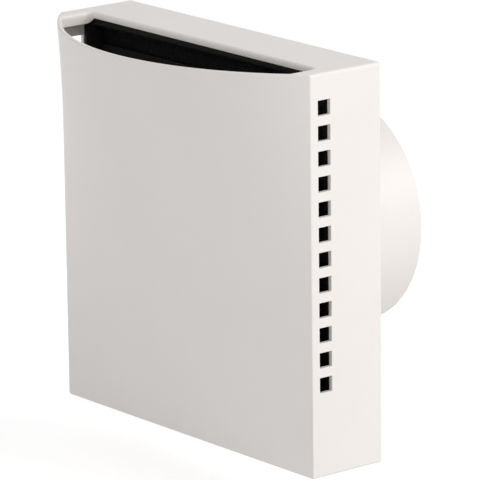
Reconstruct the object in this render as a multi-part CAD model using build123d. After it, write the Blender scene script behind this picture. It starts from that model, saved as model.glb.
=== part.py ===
"""Wall ventilation valve: bowed clip-on cover, filter cassette, disc valve and duct spigot.

Millimetres. The origin is on the duct axis, in the plane of the wall. +Y goes into the wall,
so the front looks along -Y. +X is the viewer's right and +Z is up.
"""

from build123d import *
import os

# Cover: a shallow square tray whose front bows out towards the top
cover_width = 166.0
cover_height = 170.0
cover_depth = 37.0
cover_wall = 2.0
cover_top_wall = 2.8
bow_rise = 36.0
cover_corner = 1.6

# Outlet in the top of the cover
outlet_strip = 27.4
outlet_side_rim = 8.2
outlet_lip_drop = 5.3
outlet_lip_wall = 2.0

# Side holes of the cover
hole_size = 6.4
hole_pitch = 10.55
hole_count = 12
hole_setback = 4.0
hole_top_margin = 14.5

# Stops inside the cover that seat on the filter frame
stop_length = 24.0
stop_rise = 2.4
stop_depth = 4.0

# Clearances
cover_clearance = 0.3
insert_clearance = 0.3
face_clearance = 0.1
guide_clearance = 0.3
thread_clearance = 0.075

# Base: wall plate with a rim in front and a collar behind, in one moulding
gasket_thickness = 1.5
gasket_width = 8.0
gasket_inset = 3.0
plate_thickness = 2.2
rim_wall = 2.0
rim_depth = 10.8
plate_corner_radius = 3.0
collar_wall = 2.2
screw_spacing_x = 120.0
screw_spacing_z = 124.0
screw_hole_diameter = 4.5

# Duct spigot, a tube bonded over the collar
spigot_diameter = 98.0
spigot_wall = 2.0
spigot_length = 52.0
spigot_edge = 0.8

# Bridge bar across the spigot, behind the collar
bridge_setback = 13.0
bridge_depth = 9.0
bridge_width = 12.0
hub_diameter = 24.0

# Filter cassette
frame_depth = 12.2
frame_lip = 4.2
frame_wall = 2.0
frame_recess = 5.2
slat_thickness = 2.0
slat_width = 3.0
slat_top_gap = 7.5
slat_pitch = 16.2
pad_thickness = 5.0

# Foam strips that line the chamber
lining_thickness = 10.0
lining_depth = 9.0

# Disc valve
disc_diameter = 104.0
disc_flange_width = 10.0
disc_wall = 1.8
disc_dish_depth = 9.0
disc_floor_radius = 24.0
disc_floor_wall = 4.0
disc_travel = 6.5
seal_thickness = 1.6
seal_width = 7.0
guide_pin_size = 4.0
guide_pin_radius = 18.0
guide_pin_length = 16.5

# Spindle, adjusting nut and fasteners
spindle_diameter = 6.0
spindle_front = 10.0
spindle_tail = 2.3
shoulder_diameter = 12.0
shoulder_thickness = 2.0
washer_diameter = 12.5
washer_thickness = 1.2
hex_nut_width = 10.0
hex_nut_thickness = 5.0
wheel_diameter = 30.0
wheel_thickness = 6.0
wheel_scallops = 8
wheel_scallop_diameter = 9.0
wheel_scallop_depth = 1.6
shank_diameter = 10.0
shank_tail = 1.0
groove_depth = 0.8
ring_diameter = 14.0
ring_thickness = 1.2
ring_gap = 6.0

# Planes and levels worked out from the sizes above
top = cover_height / 2
bottom = -top
front = -cover_depth
plate_back = -gasket_thickness
plate_front = plate_back - plate_thickness
rim_front = plate_front - rim_depth
frame_front = rim_front - frame_depth
slat_front = frame_front + frame_recess
pad_front = slat_front + slat_thickness
spigot_radius = spigot_diameter / 2
bore_radius = spigot_radius - spigot_wall
collar_radius = bore_radius - face_clearance
mouth_radius = collar_radius - collar_wall
hub_front = bridge_setback
hub_back = hub_front + bridge_depth
seal_back = plate_front - face_clearance - disc_travel
flange_back = seal_back - seal_thickness
flange_front = flange_back - disc_wall
floor_front = flange_front + disc_dish_depth
floor_back = floor_front + disc_floor_wall

# Space inside the cover, as the pieces that fill it see it
inside_left = cover_width / 2 - cover_wall
inside_top = top - cover_top_wall
inside_bottom = bottom + cover_wall
insert_width = 2 * (inside_left - cover_clearance)
insert_height = inside_top - inside_bottom - 2 * cover_clearance
insert_middle = (inside_top + inside_bottom) / 2

# Arc of the bowed front, seen from above, at the top of the cover
bow_radius = ((cover_width / 2) ** 2 + bow_rise**2) / (2 * bow_rise)
bow_centre = front - bow_rise + bow_radius


def block(width, depth, height, x, y, z):
    """A box given by its size and by its lowest X, front Y and lowest Z."""
    return Pos(x, y, z) * Box(width, depth, height, align=(Align.MIN,) * 3)


def ring_y(outer_radius, inner_radius, start, end):
    """A round ring about the duct axis, from one Y to another."""
    section = Pos((outer_radius + inner_radius) / 2, (start + end) / 2)
    section *= Rectangle(outer_radius - inner_radius, end - start)
    return revolve(section, Axis.Y)


def rod_y(radius, start, end, x=0.0, z=0.0):
    """A round rod along Y."""
    return extrude(Plane((x, start, z), x_dir=(1, 0, 0), z_dir=(0, 1, 0)) * Circle(radius), end - start)


def plate_y(width, height, start, end, middle_z=0.0, radius=0.0):
    """A flat plate across Y with rounded corners."""
    outline = Rectangle(width, height)
    if radius > 0:
        outline = fillet(outline.vertices(), radius)
    plane = Plane((0, start, middle_z), x_dir=(1, 0, 0), z_dir=(0, -1, 0))
    return extrude(plane * outline, start - end)


def bow_front(x, inset):
    """Y of the bowed front at the top of the cover, on a face inset by a wall."""
    return bow_centre - ((bow_radius - inset) ** 2 - x**2) ** 0.5


def plan_section(corner_x, side_x, back_y, level, face_y, side_y, face):
    """One level of the cover in plan: the front edge given, cut corners run on past the sides, and the back."""
    points = [
        (corner_x, face_y, level), (side_x, side_y, level), (side_x, back_y, level),
        (-side_x, back_y, level), (-side_x, side_y, level), (-corner_x, face_y, level),
    ]
    return make_face([face] + Polyline(*points).edges())


def bow_block(inset, low, high, back_y):
    """The solid behind the front, which is straight at the bottom and bowed at the top, inset by a wall."""
    half_width = cover_width / 2 - inset
    corner_x = half_width - cover_corner
    side_x = half_width + cover_corner
    deep_y = back_y + cover_corner
    flat_y = front + inset
    flat_face = Line((-corner_x, flat_y, bottom), (corner_x, flat_y, bottom))
    flat = plan_section(corner_x, side_x, deep_y, bottom, flat_y, flat_y + 2 * cover_corner, flat_face)
    bowed_y = bow_front(corner_x, inset)
    side_y = 2 * (bow_front(half_width, inset) + cover_corner) - bowed_y
    bowed_face = ThreePointArc((-corner_x, bowed_y, top), (0, bow_front(0, inset), top), (corner_x, bowed_y, top))
    bowed = plan_section(corner_x, side_x, deep_y, top, bowed_y, side_y, bowed_face)
    reach = 2 * cover_width
    sides = block(2 * half_width, reach, high - low, -half_width, back_y - reach, low)
    return loft([flat, bowed], ruled=True) & sides


def make_front_cover():
    """One moulding: bowed front, four walls, outlet with lips, side holes and stops."""
    shell = bow_block(0.0, bottom, top, 0.0)
    hollow = bow_block(cover_wall, inside_bottom, inside_top, 1.0)
    channel = bow_block(cover_wall, bottom, top, 1.0)
    outlet_half = cover_width / 2 - outlet_side_rim
    outlet_depth = 2 * cover_width
    cutter = block(
        2 * outlet_half, outlet_depth, 2 * cover_top_wall,
        -outlet_half, -outlet_strip - outlet_depth, top - 2 * cover_top_wall,
    )
    outlet = channel & cutter
    cover = shell - hollow - outlet
    for side in (-1, 1):
        lip_x = side * (outlet_half + outlet_lip_wall / 2)
        reach = cover_width
        lip = Pos(lip_x, -outlet_strip - reach / 2, top - outlet_lip_drop / 2)
        lip *= Box(outlet_lip_wall, reach, outlet_lip_drop)
        cover += lip & channel
        for index in range(hole_count):
            hole_z = top - hole_top_margin - index * hole_pitch
            hole = Pos(side * cover_width / 2, front + hole_setback + hole_size / 2, hole_z)
            cover -= hole * Box(4 * cover_wall, hole_size, hole_size)
    stop_back = frame_front - face_clearance
    for side in (-1, 1):
        foot = Pos(side * (cover_width / 4), stop_back - stop_depth / 2, inside_bottom + stop_rise / 2)
        cover += foot * Box(stop_length, stop_depth, stop_rise)
    return cover


def make_base_plate():
    """Wall plate with a rim round the chamber, a collar for the spigot and four screw holes."""
    base = plate_y(insert_width, insert_height, plate_back, rim_front, insert_middle, plate_corner_radius)
    base -= plate_y(
        insert_width - 2 * rim_wall, insert_height - 2 * rim_wall, plate_front, rim_front - 1,
        insert_middle, plate_corner_radius - rim_wall,
    )
    base += rod_y(collar_radius, plate_back, bridge_setback)
    base -= rod_y(mouth_radius, plate_front - 1, bridge_setback + 1)
    for x in (-screw_spacing_x / 2, screw_spacing_x / 2):
        for z in (-screw_spacing_z / 2, screw_spacing_z / 2):
            base -= rod_y(screw_hole_diameter / 2, plate_front - 1, plate_back + 1, x, z)
    return base


def make_duct_spigot():
    """Plain tube that slides into the duct, with its outer tip broken."""
    tube = ring_y(spigot_radius, bore_radius, plate_back, spigot_length)
    tips = tube.edges().filter_by(GeomType.CIRCLE).group_by(Axis.Y)[-1]
    return chamfer(tips.sort_by(SortBy.LENGTH)[-1], spigot_edge)


def make_spindle_bridge():
    """Bar across the spigot with a hub for the spindle and two holes for the disc's guide pins."""
    middle = (hub_front + hub_back) / 2
    bar = Pos(0, middle, 0) * Box(2 * spigot_diameter, bridge_depth, bridge_width)
    bridge = (bar & rod_y(collar_radius, hub_front, hub_back)) + rod_y(hub_diameter / 2, hub_front, hub_back)
    bridge -= rod_y(spindle_diameter / 2 + face_clearance, hub_front - 1, hub_back + 1)
    guide = guide_pin_size + 2 * guide_clearance
    for side in (-1, 1):
        bridge -= Pos(side * guide_pin_radius, middle, 0) * Box(guide, 2 * bridge_depth, guide)
    return bridge


def make_wall_gasket():
    """Square foam ring between the plate and the wall."""
    outer_width = insert_width - 2 * gasket_inset
    outer_height = insert_height - 2 * gasket_inset
    ring = plate_y(outer_width, outer_height, 0.0, plate_back, insert_middle, plate_corner_radius)
    inner_width = outer_width - 2 * gasket_width
    inner_height = outer_height - 2 * gasket_width
    return ring - plate_y(inner_width, inner_height, 0.0, plate_back, insert_middle)


def make_filter_frame():
    """Black moulded cassette: deep surround, sloped front lip, and slats in front of the pad."""
    frame = plate_y(insert_width, insert_height, rim_front, frame_front, insert_middle, plate_corner_radius)
    pocket_width = insert_width - 2 * frame_wall
    pocket_height = insert_height - 2 * frame_wall
    frame -= plate_y(pocket_width, pocket_height, rim_front, pad_front, insert_middle)
    window_width = insert_width - 2 * frame_lip
    window_height = insert_height - 2 * frame_lip
    back_plane = Plane((0, slat_front, insert_middle), x_dir=(1, 0, 0), z_dir=(0, -1, 0))
    front_plane = Plane((0, frame_front, insert_middle), x_dir=(1, 0, 0), z_dir=(0, -1, 0))
    frame -= loft([back_plane * Rectangle(window_width, window_height),
                   front_plane * Rectangle(pocket_width, pocket_height)])
    window_bottom = insert_middle - window_height / 2
    high = insert_middle + window_height / 2
    gap = slat_top_gap
    while high - window_bottom > slat_width:
        low = max(high - gap, window_bottom)
        start = slat_front - slat_thickness / 2
        frame -= block(window_width, 2 * slat_thickness, high - low, -window_width / 2, start, low)
        high = low - slat_width
        gap = slat_pitch - slat_width
    return frame


def make_filter_pad():
    """Open-cell foam pad behind the lattice."""
    width = insert_width - 2 * frame_wall - 2 * insert_clearance
    height = insert_height - 2 * frame_wall - 2 * insert_clearance
    return plate_y(width, height, pad_front + pad_thickness, pad_front, insert_middle)


def make_sound_lining():
    """Four foam strips along the inside of the rim."""
    half_width = insert_width / 2 - rim_wall - insert_clearance
    half_height = insert_height / 2 - rim_wall - insert_clearance
    start = plate_front - lining_depth
    tall = 2 * half_height
    wide = 2 * (half_width - lining_thickness) - 2 * insert_clearance
    low = insert_middle - half_height
    high = insert_middle + half_height
    return Compound(children=[
        block(lining_thickness, lining_depth, tall, -half_width, start, low),
        block(lining_thickness, lining_depth, tall, half_width - lining_thickness, start, low),
        block(wide, lining_depth, lining_thickness, -wide / 2, start, low),
        block(wide, lining_depth, lining_thickness, -wide / 2, start, high - lining_thickness),
    ])


def make_valve_disc():
    """Dished disc with a flat flange, a thick floor for the wheel's shank, and two guide pins."""
    rim_radius = disc_diameter / 2
    cone_radius = rim_radius - disc_flange_width
    hole_radius = shank_diameter / 2 + face_clearance
    profile = Polyline(
        (hole_radius, floor_front), (disc_floor_radius, floor_front), (cone_radius, flange_front),
        (rim_radius, flange_front), (rim_radius, flange_back), (cone_radius - disc_wall / 2, flange_back),
        (disc_floor_radius, floor_back), (hole_radius, floor_back), close=True,
    )
    disc = revolve(make_face(profile), Axis.Y)
    for side in (-1, 1):
        length = guide_pin_length + disc_floor_wall / 2
        middle = floor_back + guide_pin_length - length / 2
        disc += Pos(side * guide_pin_radius, middle, 0) * Box(guide_pin_size, length, guide_pin_size)
    return disc


def make_disc_seal():
    """Soft ring on the back of the disc's flange."""
    outer = disc_diameter / 2
    return ring_y(outer, outer - seal_width, flange_back, seal_back)


def make_spindle():
    """Threaded spindle with a shoulder that seats on the bridge."""
    end = hub_back + washer_thickness + hex_nut_thickness + spindle_tail
    spindle = rod_y(spindle_diameter / 2, -spindle_front, end)
    return spindle + rod_y(shoulder_diameter / 2, hub_front - shoulder_thickness, hub_front)


def make_washer():
    """Flat washer behind the bridge."""
    inner = spindle_diameter / 2 + face_clearance
    return ring_y(washer_diameter / 2, inner, hub_back, hub_back + washer_thickness)


def make_hex_nut():
    """Hexagon nut that holds the spindle in the bridge."""
    start = hub_back + washer_thickness
    plane = Plane((0, start, 0), x_dir=(1, 0, 0), z_dir=(0, 1, 0))
    outline = RegularPolygon(hex_nut_width / 2, 6, major_radius=False)
    nut = extrude(plane * outline, hex_nut_thickness)
    return nut - rod_y(spindle_diameter / 2 + thread_clearance, start - 1, start + hex_nut_thickness + 1)


def make_adjusting_nut():
    """Scalloped thumb wheel whose shank carries the disc along the spindle."""
    wheel_back = floor_front - face_clearance
    wheel_front = wheel_back - wheel_thickness
    groove_start = floor_back + face_clearance
    groove_end = groove_start + ring_thickness + face_clearance
    nut = rod_y(wheel_diameter / 2, wheel_front, wheel_back)
    nut += rod_y(shank_diameter / 2, wheel_back, groove_end + shank_tail)
    nut -= ring_y(shank_diameter, shank_diameter / 2 - groove_depth, groove_start, groove_end)
    scallop_radius = wheel_scallop_diameter / 2
    scallop_x = wheel_diameter / 2 + scallop_radius - wheel_scallop_depth
    for index in range(wheel_scallops):
        turn = Rot(0, index * 360 / wheel_scallops, 0)
        nut -= turn * rod_y(scallop_radius, wheel_front - 1, wheel_back + 1, scallop_x)
    return nut - rod_y(spindle_diameter / 2 + thread_clearance, wheel_front - 1, groove_end + shank_tail + 1)


def make_retaining_ring():
    """Open spring ring in the shank's groove, behind the disc's floor."""
    inner = shank_diameter / 2 - groove_depth + face_clearance
    start = floor_back + face_clearance
    ring = ring_y(ring_diameter / 2, inner, start, start + ring_thickness)
    slot = Pos(0, start, -ring_diameter / 2) * Box(ring_gap, 4 * ring_thickness, ring_diameter)
    return ring - slot


pieces = {
    "front_cover": make_front_cover(),
    "base_plate": make_base_plate(),
    "duct_spigot": make_duct_spigot(),
    "spindle_bridge": make_spindle_bridge(),
    "wall_gasket": make_wall_gasket(),
    "filter_frame": make_filter_frame(),
    "filter_pad": make_filter_pad(),
    "sound_lining": make_sound_lining(),
    "valve_disc": make_valve_disc(),
    "disc_seal": make_disc_seal(),
    "spindle": make_spindle(),
    "spindle_washer": make_washer(),
    "spindle_nut": make_hex_nut(),
    "adjusting_nut": make_adjusting_nut(),
    "retaining_ring": make_retaining_ring(),
}

os.makedirs("parts", exist_ok=True)
for name, piece in pieces.items():
    export_step(piece, f"parts/{name}.step")
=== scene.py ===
"""Looks of the wall ventilation valve: white moulded cover and base, black filter cassette, disc valve."""

import math

import bmesh
import bpy
from mathutils import Matrix, Vector


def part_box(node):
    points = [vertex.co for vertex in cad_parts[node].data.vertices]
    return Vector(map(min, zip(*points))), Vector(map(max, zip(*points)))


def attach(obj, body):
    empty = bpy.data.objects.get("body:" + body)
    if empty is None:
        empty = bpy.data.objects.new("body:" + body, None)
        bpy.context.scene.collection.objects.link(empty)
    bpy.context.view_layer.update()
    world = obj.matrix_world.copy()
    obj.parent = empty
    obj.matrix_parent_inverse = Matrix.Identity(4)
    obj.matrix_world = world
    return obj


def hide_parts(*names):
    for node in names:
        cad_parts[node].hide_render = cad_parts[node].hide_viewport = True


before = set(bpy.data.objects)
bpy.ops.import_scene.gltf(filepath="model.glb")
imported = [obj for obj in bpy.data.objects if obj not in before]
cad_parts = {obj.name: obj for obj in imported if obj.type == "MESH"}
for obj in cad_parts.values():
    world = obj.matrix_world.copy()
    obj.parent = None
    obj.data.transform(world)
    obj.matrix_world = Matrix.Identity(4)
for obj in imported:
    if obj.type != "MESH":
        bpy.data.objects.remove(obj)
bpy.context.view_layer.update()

# Unit, what counts as the same place, and how squarely a face has to look along an axis
MM = 0.001
SLACK = 1e-5
FACING = 0.9

# Boxes of the solids that the pieces stand for
COVER_LOW, COVER_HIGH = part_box("front_cover")
PLATE_LOW, PLATE_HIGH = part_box("base_plate")
SPIGOT_LOW, SPIGOT_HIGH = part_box("duct_spigot")
BRIDGE_LOW, BRIDGE_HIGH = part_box("spindle_bridge")
GASKET_LOW, GASKET_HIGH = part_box("wall_gasket")
CASSETTE_LOW, CASSETTE_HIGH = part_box("filter_frame")
PAD_LOW, PAD_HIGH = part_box("filter_pad")
LINING_LOW, LINING_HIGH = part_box("sound_lining")
DISC_LOW, DISC_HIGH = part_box("valve_disc")
SEAL_LOW, SEAL_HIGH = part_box("disc_seal")
SPINDLE_LOW, SPINDLE_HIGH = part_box("spindle")
WASHER_LOW, WASHER_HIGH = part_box("spindle_washer")
NUT_LOW, NUT_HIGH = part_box("spindle_nut")
WHEEL_LOW, WHEEL_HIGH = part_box("adjusting_nut")
RING_LOW, RING_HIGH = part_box("retaining_ring")

# Cover sizes that its box doesn't give
COVER_HALF = COVER_HIGH.x
COVER_TOP = COVER_HIGH.z
COVER_BOTTOM = COVER_LOW.z
SIDE_DEPTH = 37 * MM
COVER_WALL = 2 * MM
OUTLET_HALF = 74.8 * MM
OUTLET_STRIP = 27.4 * MM
OUTLET_ROUND = 2.2 * MM
BACK_LIP = 2.8 * MM
SIDE_LIP = 5.3 * MM
HOLE_SIZE = 6.4 * MM
HOLE_PITCH = 10.55 * MM
HOLE_COUNT = 12
HOLE_FRONT = -33 * MM
HOLE_BACK = HOLE_FRONT + HOLE_SIZE
FIRST_HOLE = 70.5 * MM
BOW_COLUMNS = 64
BOW_RISE = -SIDE_DEPTH - COVER_LOW.y
BOW_RADIUS = (COVER_HALF**2 + BOW_RISE**2) / (2 * BOW_RISE)
RIM_CLEAR = 0.05 * MM
RIM_BACK = -SIDE_DEPTH + COVER_WALL + RIM_CLEAR

# How far the edges of the cover are rounded, and where the rounding of the outlet ends
HOLE_EDGE = 0.2 * MM
SIDE_EDGE = 1.4 * MM
OUTLET_EDGE = 1.4 * MM
TOP_EDGE = 0.7 * MM
LIP_EDGE = 0.4 * MM
OTHER_EDGE = 0.9 * MM
OUTLET_EDGE_FRONT = -42 * MM

# Sizes of the works behind the cover
PLATE_FRONT = -3.7 * MM
MOUTH_RADIUS = 44.7 * MM
BASE_WALL = 2.2 * MM
SCREW_X = 60 * MM
SCREW_Z = 62 * MM
SCREW_HOLE = 2.25 * MM
THREAD_RADIUS = 2.98 * MM
THREAD_ROOT = 2.4 * MM
THREAD_PITCH = 2 * MM
BORE_RADIUS = 3.075 * MM
PIN_PLACE = 18 * MM
PIN_SIZE = 4 * MM


def object_mode():
    """Back to object mode with nothing selected."""
    if bpy.context.object and bpy.context.object.mode != "OBJECT":
        bpy.ops.object.mode_set(mode="OBJECT")
    bpy.ops.object.select_all(action="DESELECT")


def take(piece):
    """Makes a piece the only selected and active one."""
    object_mode()
    piece.select_set(True)
    bpy.context.view_layer.objects.active = piece


def named(name):
    """Names the primitive just added and puts its place and size into its mesh."""
    piece = bpy.context.object
    piece.name = name
    piece.data.name = name
    bpy.ops.object.transform_apply(location=True, rotation=True, scale=True)
    return piece


def new_block(name, low, high):
    """A box between two corners."""
    object_mode()
    low, high = Vector(low), Vector(high)
    bpy.ops.mesh.primitive_cube_add(size=1, location=(low + high) / 2, scale=high - low)
    return named(name)


def edit(piece):
    """Opens a piece in edit mode."""
    take(piece)
    bpy.ops.object.mode_set(mode="EDIT")


def pick(piece, kind, test):
    """Selects only the vertices, edges or faces that pass a test, in edit mode."""
    bpy.ops.mesh.select_mode(type={"verts": "VERT", "edges": "EDGE", "faces": "FACE"}[kind])
    bpy.ops.mesh.select_all(action="DESELECT")
    mesh = bmesh.from_edit_mesh(piece.data)
    for element in getattr(mesh, kind):
        if test(element):
            element.select_set(True)
    bmesh.update_edit_mesh(piece.data)


def cut(piece, axis, places, test=None):
    """Cuts a piece, in edit mode, with planes across one axis: all of it, or the faces that pass a test."""
    normal = Vector((axis == "x", axis == "y", axis == "z"))
    for place in places:
        pick(piece, "faces", test or (lambda face: True))
        bpy.ops.mesh.bisect(plane_co=normal * place, plane_no=normal)


def add_modifier(piece, kind, **settings):
    """Adds a modifier with its settings and applies it."""
    take(piece)
    modifier = piece.modifiers.new(kind.lower(), kind)
    for key, value in settings.items():
        setattr(modifier, key, value)
    bpy.ops.object.modifier_apply(modifier=modifier.name)


def round_edges(piece, width, segments=3, angle=35):
    """Rounds every edge sharper than an angle."""
    add_modifier(
        piece, "BEVEL", width=width, segments=segments, limit_method="ANGLE",
        angle_limit=math.radians(angle), use_clamp_overlap=False, miter_outer="MITER_ARC",
    )


def weigh_edges(piece, width_of, segments=3, angle=35):
    """Rounds the edges that stand out, each by the width that a function gives."""
    edit(piece)
    mesh = bmesh.from_edit_mesh(piece.data)
    layer = mesh.edges.layers.float.new("bevel_weight_edge")
    widest = 1 * MM
    for edge in mesh.edges:
        sharp = len(edge.link_faces) == 2 and edge.is_convex
        if sharp and edge.calc_face_angle() > math.radians(angle):
            edge[layer] = width_of(edge) / widest
    bmesh.update_edit_mesh(piece.data)
    object_mode()
    add_modifier(
        piece, "BEVEL", width=widest, segments=segments, limit_method="WEIGHT", use_clamp_overlap=False
    )


def smooth(piece, angle=40):
    """Smooth shading with flat faces kept flat."""
    take(piece)
    bpy.ops.object.shade_smooth_by_angle(angle=math.radians(angle))
    add_modifier(piece, "WEIGHTED_NORMAL", keep_sharp=True, weight=80)


def join(pieces, name):
    """Joins several pieces into one."""
    object_mode()
    for piece in pieces:
        piece.select_set(True)
    bpy.context.view_layer.objects.active = pieces[0]
    bpy.ops.object.join()
    pieces[0].name = name
    pieces[0].data.name = name
    return pieces[0]


def recalculate(piece):
    """Merges doubles and turns every face outwards."""
    edit(piece)
    bpy.ops.mesh.select_all(action="SELECT")
    bpy.ops.mesh.remove_doubles(threshold=SLACK / 10)
    bpy.ops.mesh.normals_make_consistent(inside=False)
    object_mode()


def new_loop(name, points):
    """A closed loop of edges through given points."""
    object_mode()
    bpy.ops.mesh.primitive_circle_add(vertices=len(points), radius=1, fill_type="NOTHING")
    piece = named(name)
    for vertex, point in zip(piece.data.vertices, points):
        vertex.co = point
    return piece


def spun(name, profile, steps=96, turn=math.tau, start=0):
    """A ring, or part of one, about the duct axis: a closed profile of (radius, y) points, spun."""
    side, up = math.cos(start), math.sin(start)
    piece = new_loop(name, [(radius * side, y, radius * up) for radius, y in profile])
    edit(piece)
    bpy.ops.mesh.select_all(action="SELECT")
    if turn < math.tau:
        bpy.ops.mesh.edge_face_add()
    bpy.ops.mesh.spin(steps=steps, angle=turn, center=(0, 0, 0), axis=(0, 1, 0))
    object_mode()
    recalculate(piece)
    return piece


def prism(name, outline, start, end):
    """A solid along Y on an outline of (x, z) points."""
    piece = new_loop(name, [(x, start, z) for x, z in outline])
    edit(piece)
    bpy.ops.mesh.select_all(action="SELECT")
    bpy.ops.mesh.edge_face_add()
    bpy.ops.mesh.extrude_region_move(TRANSFORM_OT_translate={"value": (0, end - start, 0)})
    object_mode()
    recalculate(piece)
    return piece


def rod(name, radius, start, end, x=0.0, z=0.0, sides=64):
    """A round rod along Y."""
    turns = [math.tau * index / sides for index in range(sides)]
    outline = [(x + radius * math.cos(turn), z + radius * math.sin(turn)) for turn in turns]
    return prism(name, outline, start, end)


def tube_profile(inner, outer, start, end):
    """Section of a plain tube, to be spun."""
    return [(inner, start), (outer, start), (outer, end), (inner, end)]


def carve(piece, tool, operation="DIFFERENCE"):
    """Cuts a piece by another, joins them or keeps what they share, and removes the other."""
    add_modifier(piece, "BOOLEAN", object=tool, operation=operation, solver="EXACT")
    bpy.data.objects.remove(tool)


def picture_frame(name, low, high, section):
    """A rectangular surround: a closed section of (inset, y) points carried round the box's outline."""
    width, height = high.x - low.x, high.z - low.z
    middle = (low.z + high.z) / 2
    inset, level = section[0]
    left, bottom = low.x + inset, low.z + inset
    right, top = high.x - inset, high.z - inset
    corners = [(left, bottom), (right, bottom), (right, top), (left, top)]
    piece = new_loop(name, [(x, level, z) for x, z in corners])
    edit(piece)
    bpy.ops.mesh.select_mode(type="EDGE")
    bpy.ops.mesh.select_all(action="SELECT")
    for new_inset, new_level in section[1:] + section[:1]:
        bpy.ops.mesh.extrude_edges_move(TRANSFORM_OT_translate={"value": (0, new_level - level, 0)})
        across = (width - 2 * new_inset) / (width - 2 * inset)
        upward = (height - 2 * new_inset) / (height - 2 * inset)
        bpy.ops.transform.resize(value=(across, 1, upward), center_override=(0, new_level, middle))
        inset, level = new_inset, new_level
    object_mode()
    recalculate(piece)
    return piece


# Materials
def new_material(name):
    """An empty node material with its shader and its object coordinates."""
    material = bpy.data.materials.new(name)
    material.use_nodes = True
    nodes = material.node_tree.nodes
    shader = nodes["Principled BSDF"]
    place = nodes.new("ShaderNodeTexCoord").outputs["Object"]
    return material, shader, place


def noise(material, place, scale, detail=2.0, roughness=0.5):
    """A noise pattern on object coordinates."""
    node = material.node_tree.nodes.new("ShaderNodeTexNoise")
    node.inputs["Scale"].default_value = scale
    node.inputs["Detail"].default_value = detail
    node.inputs["Roughness"].default_value = roughness
    material.node_tree.links.new(place, node.inputs["Vector"])
    return node.outputs["Fac"]


def ramp(material, factor, low, high, start=0.3, end=0.7):
    """A colour ramp between two colours."""
    node = material.node_tree.nodes.new("ShaderNodeValToRGB")
    node.color_ramp.elements[0].position = start
    node.color_ramp.elements[1].position = end
    node.color_ramp.elements[0].color = (*low, 1)
    node.color_ramp.elements[1].color = (*high, 1)
    material.node_tree.links.new(factor, node.inputs["Fac"])
    return node.outputs["Color"]


def span(material, factor, low, high):
    """Maps a pattern from its middle range to a range of values."""
    node = material.node_tree.nodes.new("ShaderNodeMapRange")
    node.inputs["From Min"].default_value = 0.3
    node.inputs["From Max"].default_value = 0.7
    node.inputs["To Min"].default_value = low
    node.inputs["To Max"].default_value = high
    material.node_tree.links.new(factor, node.inputs["Value"])
    return node.outputs["Result"]


def bump(material, height, strength, distance, below=None):
    """A bump from a height pattern, over another bump if one is given."""
    node = material.node_tree.nodes.new("ShaderNodeBump")
    node.inputs["Strength"].default_value = strength
    node.inputs["Distance"].default_value = distance
    material.node_tree.links.new(height, node.inputs["Height"])
    if below is not None:
        material.node_tree.links.new(below, node.inputs["Normal"])
    return node.outputs["Normal"]


def plastic(name, dark, light, smooth_level, rough_level, grain, depth, shine=0.5):
    """Moulded plastic with a fine spark-eroded grain and a faint mottle."""
    mottle_scale, grain_strength, refraction = 22, 0.35, 1.53
    material, shader, place = new_material(name)
    links = material.node_tree.links
    mottle = noise(material, place, mottle_scale, detail=3)
    speck = noise(material, place, grain, detail=2, roughness=0.6)
    links.new(ramp(material, mottle, dark, light), shader.inputs["Base Color"])
    links.new(span(material, speck, smooth_level, rough_level), shader.inputs["Roughness"])
    links.new(bump(material, speck, grain_strength, depth), shader.inputs["Normal"])
    shader.inputs["IOR"].default_value = refraction
    shader.inputs["Specular IOR Level"].default_value = shine
    return material


def foam(name, dark, light, cell, depth):
    """Foam with round pores of two sizes, its colour darkened inside the pores as painted shade."""
    fine_cell, fine_strength, fine_depth = cell * 2.3, 0.6, depth * 0.5
    pore_strength, pore_shade_start, pore_shade_end = 0.9, 0.15, 0.65
    patch, dull_low, dull_high, shine = cell * 0.5, 0.85, 0.98, 0.12
    material, shader, place = new_material(name)
    nodes, links = material.node_tree.nodes, material.node_tree.links
    pores = nodes.new("ShaderNodeTexVoronoi")
    pores.inputs["Scale"].default_value = cell
    links.new(place, pores.inputs["Vector"])
    fine = nodes.new("ShaderNodeTexVoronoi")
    fine.inputs["Scale"].default_value = fine_cell
    links.new(place, fine.inputs["Vector"])
    # Painted shade: the colour runs from the dark colour in each pore's middle to the light one on the cell
    # walls
    colour = ramp(material, pores.outputs["Distance"], dark, light, pore_shade_start, pore_shade_end)
    links.new(colour, shader.inputs["Base Color"])
    under = bump(material, fine.outputs["Distance"], fine_strength, fine_depth)
    normal = bump(material, pores.outputs["Distance"], pore_strength, depth, under)
    links.new(normal, shader.inputs["Normal"])
    rough = span(material, noise(material, place, patch), dull_low, dull_high)
    links.new(rough, shader.inputs["Roughness"])
    shader.inputs["Specular IOR Level"].default_value = shine
    return material


def zinc(name):
    """Zinc-plated steel: grey with a fine mottle."""
    material, shader, place = new_material(name)
    links = material.node_tree.links
    grain = noise(material, place, scale=900, detail=4, roughness=0.6)
    cloud = noise(material, place, scale=160, detail=2)
    colour = ramp(material, cloud, low=(0.50, 0.51, 0.53), high=(0.66, 0.67, 0.68))
    links.new(colour, shader.inputs["Base Color"])
    links.new(span(material, grain, low=0.26, high=0.42), shader.inputs["Roughness"])
    links.new(bump(material, grain, strength=0.12, distance=0.00005), shader.inputs["Normal"])
    shader.inputs["Metallic"].default_value = 1.0
    return material


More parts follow.
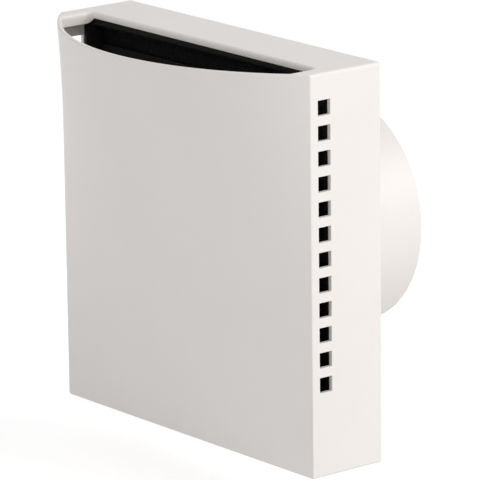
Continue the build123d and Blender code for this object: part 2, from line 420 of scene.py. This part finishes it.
WHITE = plastic(
    "white_abs", dark=(0.885, 0.846, 0.818), light=(0.905, 0.866, 0.838),
    smooth_level=0.36, rough_level=0.48, grain=2600, depth=0.00006,
)
BLACK = plastic(
    "black_polypropylene", dark=(0.005, 0.005, 0.005), light=(0.008, 0.008, 0.008),
    smooth_level=0.42, rough_level=0.55, grain=2200, depth=0.00008, shine=0.09,
)
GREY = plastic(
    "grey_nylon", dark=(0.36, 0.37, 0.38), light=(0.42, 0.43, 0.44),
    smooth_level=0.38, rough_level=0.52, grain=2400, depth=0.00006,
)
RUBBER = plastic(
    "black_rubber", dark=(0.022, 0.022, 0.022), light=(0.035, 0.035, 0.035),
    smooth_level=0.62, rough_level=0.8, grain=1500, depth=0.00008,
)
# In each foam the darker colour is painted shade inside the pores, the lighter one the cell walls
FILTER_FOAM = foam(
    "black_filter_foam", dark=(0.002, 0.002, 0.002), light=(0.008, 0.008, 0.008), cell=1300, depth=0.0003
)
LINING_FOAM = foam(
    "black_lining_foam", dark=(0.005, 0.005, 0.005), light=(0.03, 0.03, 0.032), cell=1100, depth=0.0003
)
GASKET_FOAM = foam(
    "grey_gasket_foam", dark=(0.20, 0.205, 0.21), light=(0.34, 0.345, 0.35), cell=1500, depth=0.0002
)
ZINC = zinc("zinc_plate")


def dress(piece, body, material, node):
    """Gives a finished piece its material and its body, and hides the node that it stands for."""
    piece.data.materials.clear()
    piece.data.materials.append(material)
    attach(piece, body)
    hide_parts(node)


# Front cover
def bow_offset(x, z):
    """How far the front stands out of its flat plane, growing evenly from bottom to top."""
    arc = math.sqrt(BOW_RADIUS**2 - x**2) - (BOW_RADIUS - BOW_RISE)
    return arc * (z - COVER_BOTTOM) / (COVER_TOP - COVER_BOTTOM)


def hole_middles():
    """Heights of the side holes."""
    return [FIRST_HOLE - index * HOLE_PITCH for index in range(HOLE_COUNT)]


def in_hole(point, margin=0):
    """Whether a point of a side wall lies in one of its holes."""
    if not HOLE_FRONT - margin < point.y < HOLE_BACK + margin:
        return False
    return any(abs(point.z - middle) < HOLE_SIZE / 2 + margin for middle in hole_middles())


def bow_columns():
    """Places across the front where it is cut so that it can bow, clear of the outlet's corners."""
    inner, near = OUTLET_HALF - OUTLET_ROUND, 1.2 * MM
    half_angle = math.asin(COVER_HALF / BOW_RADIUS)
    turns = [2 * index / BOW_COLUMNS - 1 for index in range(1, BOW_COLUMNS)]
    columns = [BOW_RADIUS * math.sin(half_angle * turn) for turn in turns]
    ends = [inner, OUTLET_HALF, (OUTLET_HALF + COVER_HALF) / 2]
    return [x for x in columns if abs(x) < inner - near] + ends + [-x for x in ends]


def cut_cover_sheet(piece):
    """Cuts the tray's faces where the bow, the outlet and the holes need it, and opens them."""
    cut(piece, "x", bow_columns())
    rows = [middle + side * HOLE_SIZE / 2 for middle in hole_middles() for side in (-1, 1)]
    floor_rows = [COVER_BOTTOM + 12 * MM, COVER_BOTTOM + 24 * MM]
    cut(piece, "z", rows + floor_rows)
    top_cuts = [-OUTLET_STRIP, -OUTLET_STRIP - OUTLET_ROUND, RIM_BACK]
    cut(piece, "y", top_cuts, lambda face: face.normal.z > FACING)
    cut(piece, "y", [HOLE_FRONT, HOLE_BACK], lambda face: abs(face.normal.x) > FACING)

    def over_outlet(face):
        middle = face.calc_center_median()
        if face.normal.z < FACING or not RIM_BACK < middle.y < -OUTLET_STRIP or abs(middle.x) > OUTLET_HALF:
            return False
        return middle.y < -OUTLET_STRIP - OUTLET_ROUND or abs(middle.x) < OUTLET_HALF - OUTLET_ROUND

    pick(piece, "faces", over_outlet)
    bpy.ops.mesh.delete(type="FACE")
    pick(piece, "faces", lambda face: abs(face.normal.x) > FACING and in_hole(face.calc_center_median()))
    bpy.ops.mesh.delete(type="FACE")


def round_outlet_corners(piece):
    """Turns the square left in each back corner of the outlet into a fillet."""
    centre_x, centre_y = OUTLET_HALF - OUTLET_ROUND, -OUTLET_STRIP - OUTLET_ROUND

    def free_corner(vertex):
        at_x = abs(abs(vertex.co.x) - centre_x) < SLACK
        return at_x and abs(vertex.co.y - centre_y) < SLACK and vertex.co.z > COVER_TOP - SLACK

    pick(piece, "verts", free_corner)
    bpy.ops.mesh.dissolve_verts()

    def slanted(edge):
        ends = [vertex.co for vertex in edge.verts]
        level = min(end.z for end in ends) > COVER_TOP - SLACK
        return level and all(abs(ends[0][axis] - ends[1][axis]) > SLACK for axis in (0, 1))

    pick(piece, "edges", slanted)
    bpy.ops.mesh.subdivide(number_cuts=4)
    mesh = bmesh.from_edit_mesh(piece.data)
    for vertex in mesh.verts:
        if vertex.co.z < COVER_TOP - SLACK or not vertex.is_boundary:
            continue
        side = math.copysign(centre_x, vertex.co.x)
        spoke = Vector((vertex.co.x - side, vertex.co.y - centre_y))
        inside = spoke.x * side > SLACK * centre_x and spoke.y > SLACK
        if inside and spoke.length < OUTLET_ROUND:
            spoke = spoke.normalized() * OUTLET_ROUND
            vertex.co.x, vertex.co.y = side + spoke.x, centre_y + spoke.y
    bmesh.update_edit_mesh(piece.data)
    pick(piece, "faces", lambda face: face.normal.z > FACING and face.calc_center_median().y > RIM_BACK)
    bpy.ops.mesh.dissolve_limited(angle_limit=math.radians(1))


def drop_outlet_lips(piece):
    """Folds the outlet's rim down, further at its sides than at its back, with a slope in the corners."""

    def on_rim(edge, level, sides_only):
        ends = [vertex.co for vertex in edge.verts]
        if not edge.is_boundary or any(abs(end.z - level) > SLACK for end in ends):
            return False
        if not RIM_BACK + SLACK < (ends[0].y + ends[1].y) / 2 < -OUTLET_STRIP + SLACK:
            return False
        return not sides_only or abs(ends[0].x + ends[1].x) / 2 > OUTLET_HALF - OUTLET_ROUND

    pick(piece, "edges", lambda edge: on_rim(edge, COVER_TOP, False))
    bpy.ops.mesh.extrude_edges_move(TRANSFORM_OT_translate={"value": (0, 0, -BACK_LIP)})
    pick(piece, "edges", lambda edge: on_rim(edge, COVER_TOP - BACK_LIP, True))
    bpy.ops.mesh.extrude_edges_move(TRANSFORM_OT_translate={"value": (0, 0, BACK_LIP - SIDE_LIP)})
    mesh = bmesh.from_edit_mesh(piece.data)
    for vertex in [vertex for vertex in mesh.verts if vertex.select]:
        round_part = (abs(vertex.co.x) - OUTLET_HALF) / OUTLET_ROUND + 1
        vertex.co.z = COVER_TOP - BACK_LIP - (SIDE_LIP - BACK_LIP) * round_part
    bmesh.update_edit_mesh(piece.data)
    bpy.ops.mesh.select_all(action="SELECT")
    bpy.ops.mesh.remove_doubles(threshold=SLACK)


def wall_stretch(x):
    """How much thicker the bowed wall is along Y than square to its face."""
    return BOW_RADIUS / math.sqrt(BOW_RADIUS**2 - x**2)


def bow_cover_front(piece):
    """Bows the front out, with the rim on top of its wall."""
    mesh = bmesh.from_edit_mesh(piece.data)
    for vertex in mesh.verts:
        place = vertex.co
        if place.y < RIM_BACK + SLACK:
            behind = place.y + SIDE_DEPTH
            place.y = behind * wall_stretch(place.x) - SIDE_DEPTH - bow_offset(place.x, place.z)
    bmesh.update_edit_mesh(piece.data)


def seat_side_lips(piece):
    """Draws the front ends of the side lips into the middle of the front wall."""
    for vertex in piece.data.vertices:
        place = vertex.co
        on_lip = OUTLET_HALF - SLACK < abs(place.x) < OUTLET_HALF + COVER_WALL + SLACK
        low = COVER_TOP - SIDE_LIP - SLACK < place.z < COVER_TOP - BACK_LIP + SLACK
        if on_lip and low and place.y < -SIDE_DEPTH:
            middle = COVER_WALL / 2 * wall_stretch(place.x)
            place.y = middle - SIDE_DEPTH - bow_offset(place.x, place.z)


def cover_edge_width(edge):
    """How far an edge of the cover is rounded."""
    first, second = (vertex.co for vertex in edge.verts)
    middle = (first + second) / 2
    if abs(middle.x) > COVER_HALF - COVER_WALL - SLACK and in_hole(middle, SLACK):
        return HOLE_EDGE
    along = [abs(first[axis] - second[axis]) for axis in range(3)]
    if abs(middle.x) > COVER_HALF - SLACK and along[1] > along[2]:
        return SIDE_EDGE
    if middle.z > COVER_TOP - SLACK:
        beside = abs(middle.x) < OUTLET_HALF + SLACK
        by_outlet = beside and OUTLET_EDGE_FRONT < middle.y < -OUTLET_STRIP + SLACK
        return OUTLET_EDGE if by_outlet else TOP_EDGE
    upright = along[2] > along[0] + along[1]
    on_lip = middle.z > COVER_TOP - SIDE_LIP - SLACK
    return LIP_EDGE if upright or on_lip else OTHER_EDGE


def make_cover():
    """The bowed shell: one sheet with its outlet, lips and holes, then given its wall."""
    piece = new_block("cover_shell", (-COVER_HALF, -SIDE_DEPTH, COVER_BOTTOM), (COVER_HALF, 0, COVER_TOP))
    edit(piece)
    pick(piece, "faces", lambda face: face.normal.y > FACING)
    bpy.ops.mesh.delete(type="FACE")
    cut_cover_sheet(piece)
    round_outlet_corners(piece)
    drop_outlet_lips(piece)
    bow_cover_front(piece)
    object_mode()
    add_modifier(
        piece, "SOLIDIFY", thickness=COVER_WALL, offset=-1, use_even_offset=True, use_quality_normals=True
    )
    seat_side_lips(piece)
    weigh_edges(piece, cover_edge_width)
    piece = join([piece] + cover_stops() + lip_roots(), piece.name)
    smooth(piece)
    dress(piece, "cover", WHITE, "front_cover")


def cover_stops():
    """Two feet on the floor of the cover that seat on the filter cassette."""
    gap, depth, rise, length, sink = 0.1 * MM, 4 * MM, 2.4 * MM, 24 * MM, 0.6 * MM
    back = CASSETTE_LOW.y - gap
    floor = COVER_BOTTOM + COVER_WALL
    feet = []
    for side in (-1, 1):
        x = side * COVER_HALF / 2
        low = (x - length / 2, back - depth, floor - sink)
        foot = new_block("stop", low, (x + length / 2, back, floor + rise))
        round_edges(foot, width=0.4 * MM)
        feet.append(foot)
    return feet


def lip_roots():
    """Webs inside the side lips that tie them to the front wall."""
    skin, reach = 0.3 * MM, 1 * MM
    near, far = OUTLET_HALF + skin, OUTLET_HALF + COVER_WALL - skin
    inside = COVER_WALL * wall_stretch(OUTLET_HALF) - SIDE_DEPTH - bow_offset(OUTLET_HALF, COVER_TOP)
    webs = []
    for left, right in ((-far, -near), (near, far)):
        low = (left, inside - reach, COVER_TOP - SIDE_LIP + skin)
        web = new_block("root", low, (right, inside + reach, COVER_TOP - skin))
        round_edges(web, width=0.6 * MM, angle=80)
        webs.append(web)
    return webs


# Filter cassette
def make_cassette():
    """Black surround with a sloped lip, crossed by slats."""
    low, high = CASSETTE_LOW, CASSETTE_HIGH
    lip, wall = 4.2 * MM, 2 * MM
    slat, pitch, top_gap = 3 * MM, 16.2 * MM, 7.5 * MM
    slat_front, slat_back = low.y + 5.2 * MM, low.y + 7.2 * MM
    section = [
        (0, high.y), (0, low.y), (wall, low.y), (lip, slat_front),
        (lip, slat_back), (wall, slat_back), (wall, high.y),
    ]
    surround = picture_frame("filter_surround", low, high, section)
    slat_top = high.z - lip - top_gap
    lean_out_top_lip(surround, slat_top, slat_front, high.z - lip)
    overlap = 0.5 * MM
    reach = high.x - lip + overlap
    bars = [surround]
    while slat_top - slat > low.z + lip:
        bars.append(new_block("slat", (-reach, slat_front, slat_top - slat), (reach, slat_back, slat_top)))
        slat_top -= pitch
    for bar in bars:
        round_edges(bar, width=0.45 * MM)
    piece = join(bars, "filter_cassette")
    smooth(piece)
    dress(piece, "base", BLACK, "filter_frame")


def lean_out_top_lip(surround, slat_top, slat_front, window_top):
    """Brings the top lip's inner edge forward, so that the side lips slope down to the first slat."""
    forward = 2.2 * MM
    edit(surround)
    cut(surround, "z", [slat_top])
    mesh = bmesh.from_edit_mesh(surround.data)
    for vertex in mesh.verts:
        if abs(vertex.co.z - window_top) < SLACK and abs(vertex.co.y - slat_front) < SLACK:
            vertex.co.y -= forward
    bmesh.update_edit_mesh(surround.data)
    object_mode()


def foam_block(name, low, high, step):
    """A block of foam, cut into a grid so that its skin can be uneven."""
    piece = new_block(name, low, high)
    grid(piece, step)
    return piece


def grid(piece, step):
    """Cuts a piece into cells of about one size."""
    low = Vector(min(vertex.co[axis] for vertex in piece.data.vertices) for axis in range(3))
    high = Vector(max(vertex.co[axis] for vertex in piece.data.vertices) for axis in range(3))
    edit(piece)
    for index, axis in enumerate("xyz"):
        span_of_axis = high[index] - low[index]
        count = max(1, round(span_of_axis / step))
        cut(piece, axis, [low[index] + span_of_axis * part / count for part in range(1, count)])
    object_mode()


def roughen(piece, size, depth):
    """Uneven foam skin, pressed in only, from a cloud pattern."""
    texture = bpy.data.textures.new(piece.name + "_cells", "CLOUDS")
    texture.noise_scale = size
    add_modifier(piece, "DISPLACE", texture=texture, strength=depth, mid_level=1.0, texture_coords="LOCAL")


def make_pad():
    """Filter pad behind the slats."""
    piece = foam_block("filter_foam", PAD_LOW, PAD_HIGH, step=2.5 * MM)
    roughen(piece, size=4 * MM, depth=0.35 * MM)
    smooth(piece, angle=50)
    dress(piece, "base", FILTER_FOAM, "filter_pad")


# Sound lining
def make_lining():
    """Four foam strips along the inside of the base's rim."""
    low, high = LINING_LOW, LINING_HIGH
    thick, gap, step = 10 * MM, 0.3 * MM, 3 * MM
    inner = high.x - thick - gap
    strips = [
        foam_block("strip", low, (low.x + thick, high.y, high.z), step),
        foam_block("strip", (high.x - thick, low.y, low.z), high, step),
        foam_block("strip", (-inner, low.y, low.z), (inner, high.y, low.z + thick), step),
        foam_block("strip", (-inner, low.y, high.z - thick), (inner, high.y, high.z), step),
    ]
    for strip in strips:
        roughen(strip, size=3.5 * MM, depth=0.45 * MM)
    piece = join(strips, "lining_foam")
    smooth(piece, angle=50)
    dress(piece, "base", LINING_FOAM, "sound_lining")


# Wall gasket
def make_gasket():
    """Flat foam ring between the base and the wall."""
    width = 8 * MM
    back, front = GASKET_HIGH.y, GASKET_LOW.y
    piece = picture_frame("gasket_foam", GASKET_LOW, GASKET_HIGH, [
        (0, front), (0, back), (width, back), (width, front),
    ])
    grid(piece, step=4 * MM)
    roughen(piece, size=3 * MM, depth=0.2 * MM)
    smooth(piece, angle=50)
    dress(piece, "base", GASKET_FOAM, "wall_gasket")


# Spigot
def make_spigot():
    """Plain tube with rounded tips."""
    outer, wall = SPIGOT_HIGH.x, 2 * MM
    profile = tube_profile(outer - wall, outer, SPIGOT_LOW.y, SPIGOT_HIGH.y)
    piece = spun("spigot_tube", profile, steps=144)
    round_edges(piece, width=0.7 * MM, segments=4)
    smooth(piece)
    dress(piece, "base", WHITE, "duct_spigot")


# Base plate
def make_base():
    """Collar, wall plate and rim as one sheet, given its wall outwards, with four screw holes."""
    sides = 96
    collar_end = PLATE_HIGH.y
    half_width = PLATE_HIGH.x - BASE_WALL
    half_height = (PLATE_HIGH.z - PLATE_LOW.z) / 2 - BASE_WALL
    middle = (PLATE_HIGH.z + PLATE_LOW.z) / 2
    turns = [math.tau * index / sides for index in range(sides)]
    mouth = [(MOUTH_RADIUS * math.cos(turn), collar_end, MOUTH_RADIUS * math.sin(turn)) for turn in turns]
    piece = new_loop("wall_plate", mouth)
    edit(piece)
    bpy.ops.mesh.select_mode(type="EDGE")
    bpy.ops.mesh.select_all(action="SELECT")
    bpy.ops.mesh.extrude_edges_move(TRANSFORM_OT_translate={"value": (0, PLATE_FRONT - collar_end, 0)})
    bpy.ops.mesh.extrude_edges_move(TRANSFORM_OT_translate={"value": (0, 0, 0)})
    mesh = bmesh.from_edit_mesh(piece.data)
    for vertex in [vertex for vertex in mesh.verts if vertex.select]:
        reach = max(abs(vertex.co.x), abs(vertex.co.z))
        vertex.co.x *= half_width / reach
        vertex.co.z = middle + vertex.co.z * half_height / reach
    bmesh.update_edit_mesh(piece.data)
    bpy.ops.mesh.extrude_edges_move(TRANSFORM_OT_translate={"value": (0, PLATE_LOW.y - PLATE_FRONT, 0)})

    def rim_corner(edge):
        at_corner = [abs(vertex.co.x) > half_width - SLACK for vertex in edge.verts]
        at_corner += [abs(vertex.co.z - middle) > half_height - SLACK for vertex in edge.verts]
        return all(at_corner)

    pick(piece, "edges", rim_corner)
    bpy.ops.mesh.bevel(offset=1.2 * MM, segments=3, affect="EDGES")
    bpy.ops.mesh.select_all(action="SELECT")
    bpy.ops.mesh.normals_make_consistent(inside=False)
    mesh = bmesh.from_edit_mesh(piece.data)
    plate = max(mesh.faces, key=lambda face: abs(face.normal.y) * face.calc_area())
    outward = 1 if plate.normal.y > 0 else -1
    object_mode()
    add_modifier(piece, "SOLIDIFY", thickness=BASE_WALL, offset=outward, use_even_offset=True)
    recalculate(piece)
    for x in (-SCREW_X, SCREW_X):
        for z in (-SCREW_Z, SCREW_Z):
            carve(piece, rod("screw_hole", SCREW_HOLE, PLATE_FRONT - BASE_WALL, BASE_WALL, x, z, sides=32))
    round_edges(piece, width=0.4 * MM)
    smooth(piece)
    dress(piece, "base", WHITE, "base_plate")


def make_bridge():
    """Bar across the spigot with a round hub, a spindle hole and two square guide holes."""
    start, end = BRIDGE_LOW.y, BRIDGE_HIGH.y
    reach, half_bar, hub = BRIDGE_HIGH.x, 6 * MM, BRIDGE_HIGH.z
    clear, play, spindle_hole = 1 * MM, 0.3 * MM, 3.1 * MM
    piece = new_block("bridge_bar", (-2 * reach, start, -half_bar), (2 * reach, end, half_bar))
    carve(piece, rod("bore", reach, start - clear, end + clear, sides=128), "INTERSECT")
    carve(piece, rod("hub", hub, start, end), "UNION")
    carve(piece, rod("spindle_hole", spindle_hole, start - clear, end + clear))
    guide = PIN_SIZE / 2 + play
    for side in (-1, 1):
        x = side * PIN_PLACE
        carve(piece, new_block("guide", (x - guide, start - clear, -guide), (x + guide, end + clear, guide)))
    round_edges(piece, width=0.5 * MM)
    smooth(piece)
    dress(piece, "base", WHITE, "spindle_bridge")


# Disc valve
def make_disc():
    """Dished disc with a flat flange and two square guide pins."""
    rim, cone, floor, hole = DISC_HIGH.x, 42 * MM, 24 * MM, 5.1 * MM
    wall, floor_wall, dish = 1.8 * MM, 4 * MM, 9 * MM
    flange_front = DISC_LOW.y
    flange_back, floor_front = flange_front + wall, flange_front + dish
    floor_back = floor_front + floor_wall
    piece = spun("dished_disc", [
        (hole, floor_front), (floor, floor_front), (cone, flange_front), (rim, flange_front),
        (rim, flange_back), (cone - wall / 2, flange_back), (floor, floor_back), (hole, floor_back),
    ], steps=128)
    round_edges(piece, width=0.5 * MM, angle=20)
    pins = [piece]
    for side in (-1, 1):
        low = (side * PIN_PLACE - PIN_SIZE / 2, floor_back - floor_wall / 2, -PIN_SIZE / 2)
        pin = new_block("guide_pin", low, (side * PIN_PLACE + PIN_SIZE / 2, DISC_HIGH.y, PIN_SIZE / 2))
        edit(pin)
        pick(pin, "faces", lambda face: face.normal.y > FACING)
        bpy.ops.mesh.bevel(offset=0.8 * MM, segments=2, affect="EDGES")
        object_mode()
        round_edges(pin, width=0.25 * MM)
        pins.append(pin)
    piece = join(pins, "dished_disc")
    smooth(piece)
    dress(piece, "disc", WHITE, "valve_disc")


def make_seal():
    """Soft ring on the back of the disc's flange."""
    outer, width = SEAL_HIGH.x, 7 * MM
    profile = tube_profile(outer - width, outer, SEAL_LOW.y, SEAL_HIGH.y)
    piece = spun("seal_ring", profile, steps=128)
    round_edges(piece, width=0.45 * MM)
    smooth(piece)
    dress(piece, "disc", RUBBER, "disc_seal")


# Spindle and fasteners
def thread(name, start, turns):
    """A helical ridge of the spindle's thread."""
    foot, crest, sink, steps = 0.5 * MM, 0.2 * MM, 0.1 * MM, 32
    sunk = THREAD_ROOT - sink
    ridge = new_loop(name, [
        (sunk, start - foot, 0), (THREAD_RADIUS, start - crest, 0),
        (THREAD_RADIUS, start + crest, 0), (sunk, start + foot, 0),
    ])
    add_modifier(
        ridge, "SCREW", axis="Y", screw_offset=THREAD_PITCH, iterations=turns,
        steps=steps, render_steps=steps,
    )
    edit(ridge)
    bpy.ops.mesh.select_all(action="SELECT")
    bpy.ops.mesh.fill_holes(sides=4)
    object_mode()
    recalculate(ridge)
    return ridge


def make_spindle():
    """Threaded rod with a shoulder in front of the bridge."""
    start, end = SPINDLE_LOW.y, SPINDLE_HIGH.y
    shoulder, shoulder_back, thickness = SPINDLE_HIGH.x, BRIDGE_LOW.y, 2 * MM
    shoulder_front = shoulder_back - thickness
    piece = rod("spindle_rod", THREAD_ROOT, start, end, sides=48)
    round_edges(piece, width=0.4 * MM, angle=40)
    collar = rod("shoulder", shoulder, shoulder_front, shoulder_back)
    round_edges(collar, width=0.3 * MM, angle=40)
    margin = 1 * MM
    front_turns = int((shoulder_front - start - 2 * margin) / THREAD_PITCH)
    back_turns = int((end - shoulder_back - 2 * margin) / THREAD_PITCH)
    ridges = [
        thread("thread", start + margin, front_turns),
        thread("thread", shoulder_back + margin, back_turns),
    ]
    piece = join([piece, collar] + ridges, "spindle_rod")
    smooth(piece, angle=35)
    dress(piece, "base", ZINC, "spindle")


def make_washer():
    """Flat washer behind the bridge."""
    outer, inner = WASHER_HIGH.x, 3.1 * MM
    profile = tube_profile(inner, outer, WASHER_LOW.y, WASHER_HIGH.y)
    piece = spun("flat_washer", profile, steps=64)
    round_edges(piece, width=0.2 * MM)
    smooth(piece)
    dress(piece, "base", ZINC, "spindle_washer")


def make_nut():
    """Hexagon nut with its corners turned off."""
    start, end, corner, flat = NUT_LOW.y, NUT_HIGH.y, NUT_HIGH.x, NUT_HIGH.z
    clear, flat_share, sides = 1 * MM, 0.97, 6
    turns = [math.tau * index / sides for index in range(sides)]
    outline = [(corner * math.cos(turn), corner * math.sin(turn)) for turn in turns]
    piece = prism("hex_nut", outline, start, end)
    turned = rod("turned", corner, start, end, sides=96)
    edit(turned)
    pick(turned, "edges", lambda edge: abs(edge.verts[0].co.y - edge.verts[1].co.y) < SLACK)
    bpy.ops.mesh.bevel(offset=corner - flat * flat_share, segments=1, affect="EDGES")
    object_mode()
    carve(piece, turned, "INTERSECT")
    carve(piece, rod("bore", BORE_RADIUS, start - clear, end + clear))
    round_edges(piece, width=0.15 * MM, segments=2, angle=25)
    smooth(piece)
    dress(piece, "base", ZINC, "spindle_nut")


# Adjusting wheel
def scalloped_outline(radius, count, scallop, depth):
    """Outline of a round wheel with finger scallops."""
    samples = 192
    centre = radius + scallop - depth
    points = []
    for index in range(samples):
        turn = math.tau * index / samples
        nearest = round(turn * count / math.tau) * math.tau / count
        off = turn - nearest
        reach = radius
        if abs(centre * math.sin(off)) < scallop:
            dip = centre * math.cos(off) - math.sqrt(scallop**2 - (centre * math.sin(off)) ** 2)
            reach = min(radius, dip)
        points.append((reach * math.cos(turn), reach * math.sin(turn)))
    return points


def make_wheel():
    """Scalloped thumb wheel with a grooved shank that carries the disc."""
    front, end = WHEEL_LOW.y, WHEEL_HIGH.y
    thickness, overlap, clear = 6 * MM, 0.5 * MM, 1 * MM
    back = front + thickness
    stem_front = back - overlap
    shank, groove = 5 * MM, 4.2 * MM
    groove_front, groove_back = end - 2.3 * MM, end - 1 * MM
    outline = scalloped_outline(radius=15 * MM, count=8, scallop=4.5 * MM, depth=1.6 * MM)
    wheel = prism("thumb_wheel", outline, front, back)
    carve(wheel, rod("bore", BORE_RADIUS, front - clear, back + clear))
    round_edges(wheel, width=0.7 * MM, segments=4, angle=50)
    stem = spun("shank", [
        (BORE_RADIUS, stem_front), (shank, stem_front), (shank, groove_front), (groove, groove_front),
        (groove, groove_back), (shank, groove_back), (shank, end), (BORE_RADIUS, end),
    ], steps=64)
    round_edges(stem, width=0.15 * MM, segments=2)
    piece = join([wheel, stem], "thumb_wheel")
    smooth(piece)
    dress(piece, "wheel", GREY, "adjusting_nut")


def make_ring():
    """Open spring ring in the shank's groove."""
    outer, inner, half_gap = RING_HIGH.x, 4.3 * MM, 3 * MM
    gap = 2 * math.asin(half_gap / ((outer + inner) / 2))
    profile = tube_profile(inner, outer, RING_LOW.y, RING_HIGH.y)
    piece = spun("spring_ring", profile, steps=56, turn=math.tau - gap, start=gap / 2 - math.pi / 2)
    round_edges(piece, width=0.15 * MM, segments=2)
    smooth(piece)
    dress(piece, "wheel", ZINC, "retaining_ring")


make_cover()
make_cassette()
make_pad()
make_lining()
make_gasket()
make_spigot()
make_base()
make_bridge()
make_disc()
make_seal()
make_spindle()
make_washer()
make_nut()
make_wheel()
make_ring()


# Stage, lights and camera
def pale_stage(name):
    """Pale matt floor, nearly white for the camera, that throws light back up like a sheet of paper."""
    material, shader, place = new_material(name)
    nodes, links = material.node_tree.nodes, material.node_tree.links
    faint = noise(material, place, scale=3)
    colour = ramp(material, faint, low=(0.88, 0.88, 0.88), high=(0.9, 0.9, 0.9))
    links.new(colour, shader.inputs["Base Color"])
    shader.inputs["Roughness"].default_value = 0.9
    shader.inputs["Emission Color"].default_value = (1, 1, 1, 1)
    glow = 0.5
    links.new(seen_directly(nodes, links, hidden=0, shown=glow), shader.inputs["Emission Strength"])
    return material


def seen_directly(nodes, links, hidden, shown):
    """One value for light that falls on the object, another for what the camera and reflections see."""
    rays = nodes.new("ShaderNodeLightPath")
    seen = rays.outputs["Is Camera Ray"]
    for kind in ("Is Glossy Ray", "Is Transmission Ray"):
        either = nodes.new("ShaderNodeMath")
        either.operation = "MAXIMUM"
        links.new(seen, either.inputs[0])
        links.new(rays.outputs[kind], either.inputs[1])
        seen = either.outputs["Value"]
    level = nodes.new("ShaderNodeMapRange")
    level.inputs["To Min"].default_value = hidden
    level.inputs["To Max"].default_value = shown
    links.new(seen, level.inputs["Value"])
    return level.outputs["Result"]


def make_floor():
    """Large pale floor, a little below the object."""
    object_mode()
    drop = 0.02
    bpy.ops.mesh.primitive_plane_add(size=14, location=(0, 0, COVER_BOTTOM - drop))
    floor = named("floor")
    floor.data.materials.append(pale_stage("pale_floor"))


def make_world():
    """White surroundings for the camera and reflections, softer as light."""
    world = bpy.data.worlds.new("studio")
    bpy.context.scene.world = world
    world.use_nodes = True
    nodes, links = world.node_tree.nodes, world.node_tree.links
    background = nodes["Background"]
    background.inputs["Color"].default_value = (1, 1, 1, 1)
    strength = seen_directly(nodes, links, hidden=0.468, shown=1)
    links.new(strength, background.inputs["Strength"])


def make_lamp(name, place, aim, size, power):
    """A square soft lamp."""
    data = bpy.data.lights.new(name, "AREA")
    data.shape = "SQUARE"
    data.size = size
    data.energy = power
    lamp = bpy.data.objects.new(name, data)
    bpy.context.scene.collection.objects.link(lamp)
    lamp.location = place
    lamp.rotation_euler = (Vector(aim) - Vector(place)).to_track_quat("-Z", "Y").to_euler()


def make_camera():
    """The photograph's long-lens view from the front right, a little above."""
    azimuth, elevation, roll = math.radians(51.19), math.radians(14.615), math.radians(-0.697)
    place = Vector((1.5391, -1.2452, 0.5104))
    back = Vector((
        math.sin(azimuth) * math.cos(elevation), -math.cos(azimuth) * math.cos(elevation), math.sin(elevation)
    ))
    level = Vector((math.cos(azimuth), math.sin(azimuth), 0))
    above = back.cross(level)
    right = level * math.cos(roll) + above * math.sin(roll)
    up = above * math.cos(roll) - level * math.sin(roll)
    data = bpy.data.cameras.new("photo_view")
    data.sensor_width = 36
    data.lens = 362.95
    data.clip_end = 50
    camera = bpy.data.objects.new("photo_view", data)
    bpy.context.scene.collection.objects.link(camera)
    camera.matrix_world = Matrix((
        (right.x, up.x, back.x, place.x), (right.y, up.y, back.y, place.y),
        (right.z, up.z, back.z, place.z), (0, 0, 0, 1),
    ))
    bpy.context.scene.camera = camera


make_floor()
make_world()
make_lamp("right_softbox", place=(1.28, 0.72, 0.82), aim=(0, 0, 0), size=1.2, power=15.2)
make_lamp("front_softbox", place=(0.1, -1.6, 0.4), aim=(0, 0, 0), size=1.6, power=4)
make_camera()
bpy.context.scene.view_settings.view_transform = "Standard"
